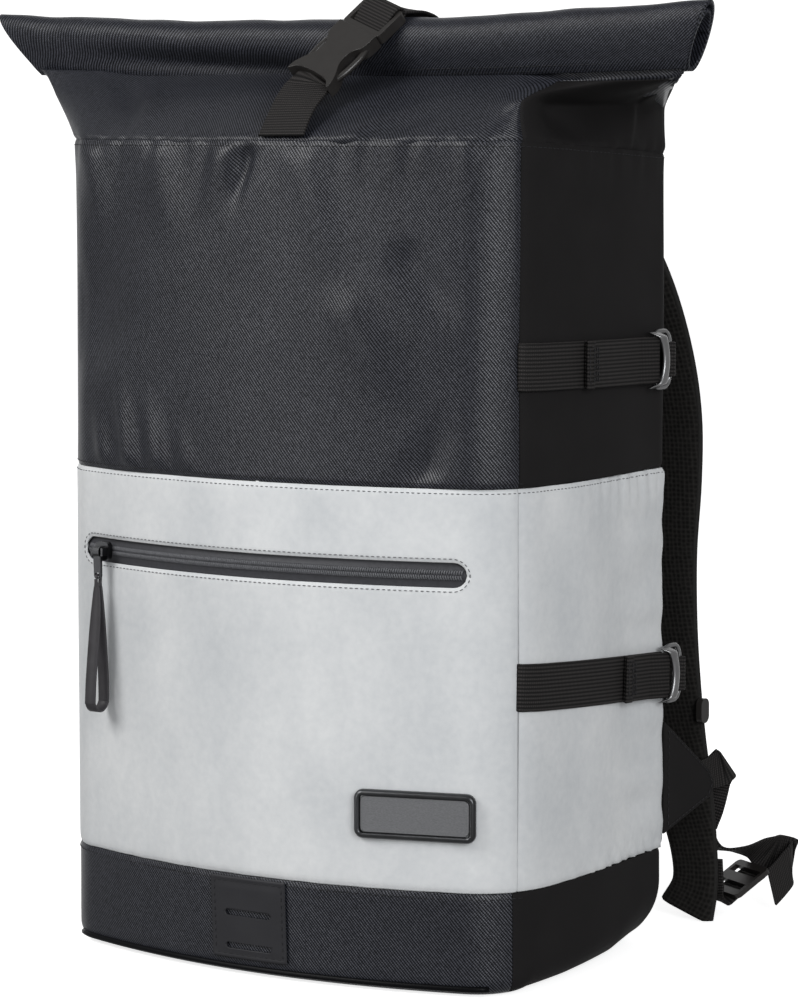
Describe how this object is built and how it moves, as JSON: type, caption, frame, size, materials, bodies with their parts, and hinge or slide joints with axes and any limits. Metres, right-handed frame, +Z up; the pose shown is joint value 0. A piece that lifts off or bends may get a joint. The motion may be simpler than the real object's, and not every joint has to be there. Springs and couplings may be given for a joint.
{
  "type": "laptop backpack",
  "caption": "Roll-top laptop backpack with a silver zip front, a rolled and buckled mouth, hooked side straps, a dark base and padded shoulder straps.",
  "frame": {"origin": "middle of the base on the ground, in the middle of the body without straps and front bulge", "axes": "+Z up, -Y is the front with the zip, +X is the right side as seen from the front"},
  "size_m": [0.4562, 0.3271, 0.5192],
  "materials": {
    "black_twill": "woven twill, slight sheen",
    "black_cloth": "matte coated cloth",
    "silver_cloth": "reflective silver-grey cloth",
    "webbing": "ribbed webbing",
    "coated_patch": "smooth coated cloth",
    "padded_mesh": "spacer mesh over foam",
    "hook_metal": "satin grey",
    "gunmetal": "dark gunmetal",
    "badge_metal": "brushed dark grey",
    "satin_plastic": "satin moulded",
    "zip_coil": "reverse coil on tape",
    "leather_grey": "dark grey leather"
  },
  "bodies": {
    "root": {"front_upper": "black_twill", "roll_top": "black_twill", "base_tray": "black_twill", "side_upper_right": "black_cloth", "side_upper_left": "black_cloth", "strap_wing_right": "black_cloth", "strap_wing_left": "black_cloth", "front_lower": "silver_cloth", "side_lower_right": "silver_cloth", "side_lower_left": "silver_cloth", "top_webbing_front": "webbing", "top_webbing_back": "webbing", "side_webbing_upper_right": "webbing", "side_webbing_upper_left": "webbing", "side_webbing_lower_right": "webbing", "side_webbing_lower_left": "webbing", "hook_loop_upper_right": "webbing", "hook_loop_upper_left": "webbing", "hook_loop_lower_right": "webbing", "hook_loop_lower_left": "webbing", "lower_webbing_right": "webbing", "lower_webbing_left": "webbing", "strap_tab_right": "webbing", "strap_tab_left": "webbing", "base_patch": "coated_patch", "back_panel": "padded_mesh", "shoulder_strap_right": "padded_mesh", "shoulder_strap_left": "padded_mesh", "side_hook_upper_right": "hook_metal", "side_hook_upper_left": "hook_metal", "side_hook_lower_right": "hook_metal", "side_hook_lower_left": "hook_metal", "zip_slider": "gunmetal", "badge_frame": "gunmetal", "badge_plate": "badge_metal", "buckle_female": "satin_plastic", "buckle_male": "satin_plastic", "ladder_lock_right": "satin_plastic", "ladder_lock_left": "satin_plastic", "sternum_slider_right": "satin_plastic", "sternum_slider_left": "satin_plastic", "zip_tape": "zip_coil"},
    "zip_pull": {"zip_pull": "gunmetal", "pull_loop": "leather_grey"}
  },
  "joints": [
    {"name": "zip_pull_hinge", "type": "hinge", "parent": "root", "child": "zip_pull", "pos_m": [-0.104, -0.10613, 0.2205], "axis": [-1, 0, 0], "range_deg": [0, 150]}
  ]
}
